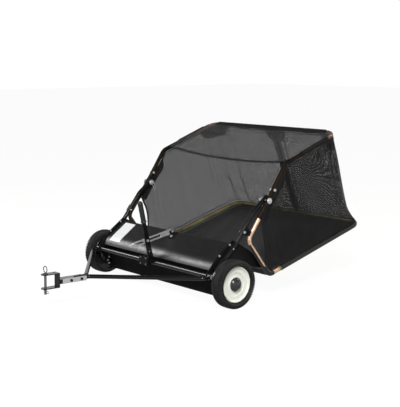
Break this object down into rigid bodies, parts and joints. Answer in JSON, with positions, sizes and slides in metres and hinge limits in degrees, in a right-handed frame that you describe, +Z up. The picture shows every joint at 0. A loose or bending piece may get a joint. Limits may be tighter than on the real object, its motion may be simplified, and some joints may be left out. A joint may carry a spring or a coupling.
{
  "type": "lawn sweeper",
  "caption": "Tow-behind lawn sweeper: wheel-driven rotary brush in a sheet-steel housing, draw frame with height lever, and a tilting tube-framed mesh hopper.",
  "frame": {"origin": "on the ground under the middle of the wheel axle", "axes": "-Y forwards to the hitch, +Y back to the hopper, +X to the sweeper's left, +Z up"},
  "size_m": [1.1946, 1.8276, 0.8585],
  "materials": {
    "gloss_black_sheet": "gloss black powder coat",
    "matte_black_sheet": "satin black powder coat",
    "black_tube": "satin black powder coat on tube",
    "zinc": "bright zinc plate",
    "axle_steel": "turned steel",
    "bush_nylon": "nylon",
    "tyre_rubber": "ribbed semi-pneumatic rubber",
    "cream_wheel": "cream-white paint",
    "black_plastic": "moulded black plastic",
    "sintered_pinion": "sintered iron",
    "core_paint": "black paint",
    "bristle": "black polypropylene bristle",
    "grip_rubber": "moulded rubber",
    "blank_label": "blank white film",
    "mesh_fabric": "open black polyester mesh",
    "floor_fabric": "solid black coated fabric"
  },
  "bodies": {
    "chassis": {"cover": "gloss_black_sheet", "front_shield": "matte_black_sheet", "side_plate_left": "matte_black_sheet", "side_plate_right": "matte_black_sheet", "frame_tube_left": "black_tube", "frame_tube_right": "black_tube", "stub_axles": "axle_steel", "axle_nuts": "zinc", "brush_bushings": "bush_nylon", "crossbar_bushings": "bush_nylon", "strap_bracket": "matte_black_sheet", "strap_pivot_bolt": "zinc", "housing_bolts": "zinc", "label_plate": "blank_label", "hopper_pins": "zinc", "pivot_washers": "zinc", "hairpins": "zinc", "hopper_stops": "matte_black_sheet"},
    "wheel_left": {"tyre_left": "tyre_rubber", "wheel_disc_left": "cream_wheel", "ring_gear_left": "black_plastic", "hub_cap_left": "black_plastic"},
    "wheel_right": {"tyre_right": "tyre_rubber", "wheel_disc_right": "cream_wheel", "ring_gear_right": "black_plastic", "hub_cap_right": "black_plastic"},
    "brush": {"brush_shaft": "axle_steel", "pinions": "sintered_pinion", "drive_pins": "axle_steel", "brush_core": "core_paint", "bristle_strips": "bristle", "brush_bolts": "zinc"},
    "draw_frame": {"crossbar": "black_tube", "drawbar_left": "black_tube", "drawbar_right": "black_tube", "drawbar_bolts": "zinc", "hitch_straps": "zinc", "hitch_bolts": "zinc", "hitch_clevis": "matte_black_sheet", "lever_bracket": "matte_black_sheet", "bracket_bolts": "zinc", "lever": "black_tube", "lever_grip": "grip_rubber", "clamp_bolt": "zinc"},
    "wing_nut": {"wing_nut": "zinc"},
    "strap": {"adjuster_strap": "zinc"},
    "hitch_pin": {"hitch_pin": "zinc"},
    "cotter": {"hair_cotter": "zinc"},
    "hopper": {"hopper_arm_left": "black_tube", "hopper_arm_right": "black_tube", "top_hoop": "black_tube", "floor_hoop": "black_tube", "floor_front_tube": "black_tube", "hopper_struts": "black_tube", "rear_stay": "black_tube", "hopper_bolts": "zinc", "side_panels": "mesh_fabric", "floor_sheet": "floor_fabric", "back_panel": "mesh_fabric", "top_panel": "mesh_fabric"}
  },
  "joints": [
    {"name": "wheel_left_spin", "type": "hinge", "parent": "chassis", "child": "wheel_left", "pos_m": [0.55, 0, 0.127], "axis": [1, 0, 0], "continuous": true},
    {"name": "wheel_right_spin", "type": "hinge", "parent": "chassis", "child": "wheel_right", "pos_m": [-0.55, 0, 0.127], "axis": [1, 0, 0], "continuous": true},
    {"name": "brush_spin", "type": "hinge", "parent": "chassis", "child": "brush", "pos_m": [0, 0.07634, 0.111], "axis": [1, 0, 0], "continuous": true},
    {"name": "height_adjust", "type": "hinge", "parent": "chassis", "child": "draw_frame", "pos_m": [0, -0.09, 0.165], "axis": [1, 0, 0], "range_deg": [-10, 8]},
    {"name": "strap_swing", "type": "hinge", "parent": "chassis", "child": "strap", "pos_m": [0, 0.048, 0.317], "axis": [1, 0, 0], "range_deg": [-0.8, 0.8]},
    {"name": "wing_nut_turn", "type": "hinge", "parent": "draw_frame", "child": "wing_nut", "pos_m": [0, -0.12495, 0.28655], "axis": [1, 0, 0], "continuous": true},
    {"name": "hitch_pin_turn", "type": "hinge", "parent": "draw_frame", "child": "hitch_pin", "pos_m": [0, -0.75962, 0.15039], "axis": [0, 0.0175, 0.9998], "continuous": true},
    {"name": "cotter_pull", "type": "slide", "parent": "hitch_pin", "child": "cotter", "axis": [1, 0, 0], "range_m": [0, 0.045]},
    {"name": "hopper_dump", "type": "hinge", "parent": "chassis", "child": "hopper", "pos_m": [0, 0.284, 0.52], "axis": [1, 0, 0], "range_deg": [0, 95]}
  ],
  "couplings": [
    {"joint": "wheel_right_spin", "follows": "wheel_left_spin", "ratio": 1},
    {"joint": "brush_spin", "follows": "wheel_left_spin", "ratio": 5},
    {"joint": "strap_swing", "follows": "height_adjust", "ratio": 0.07}
  ]
}
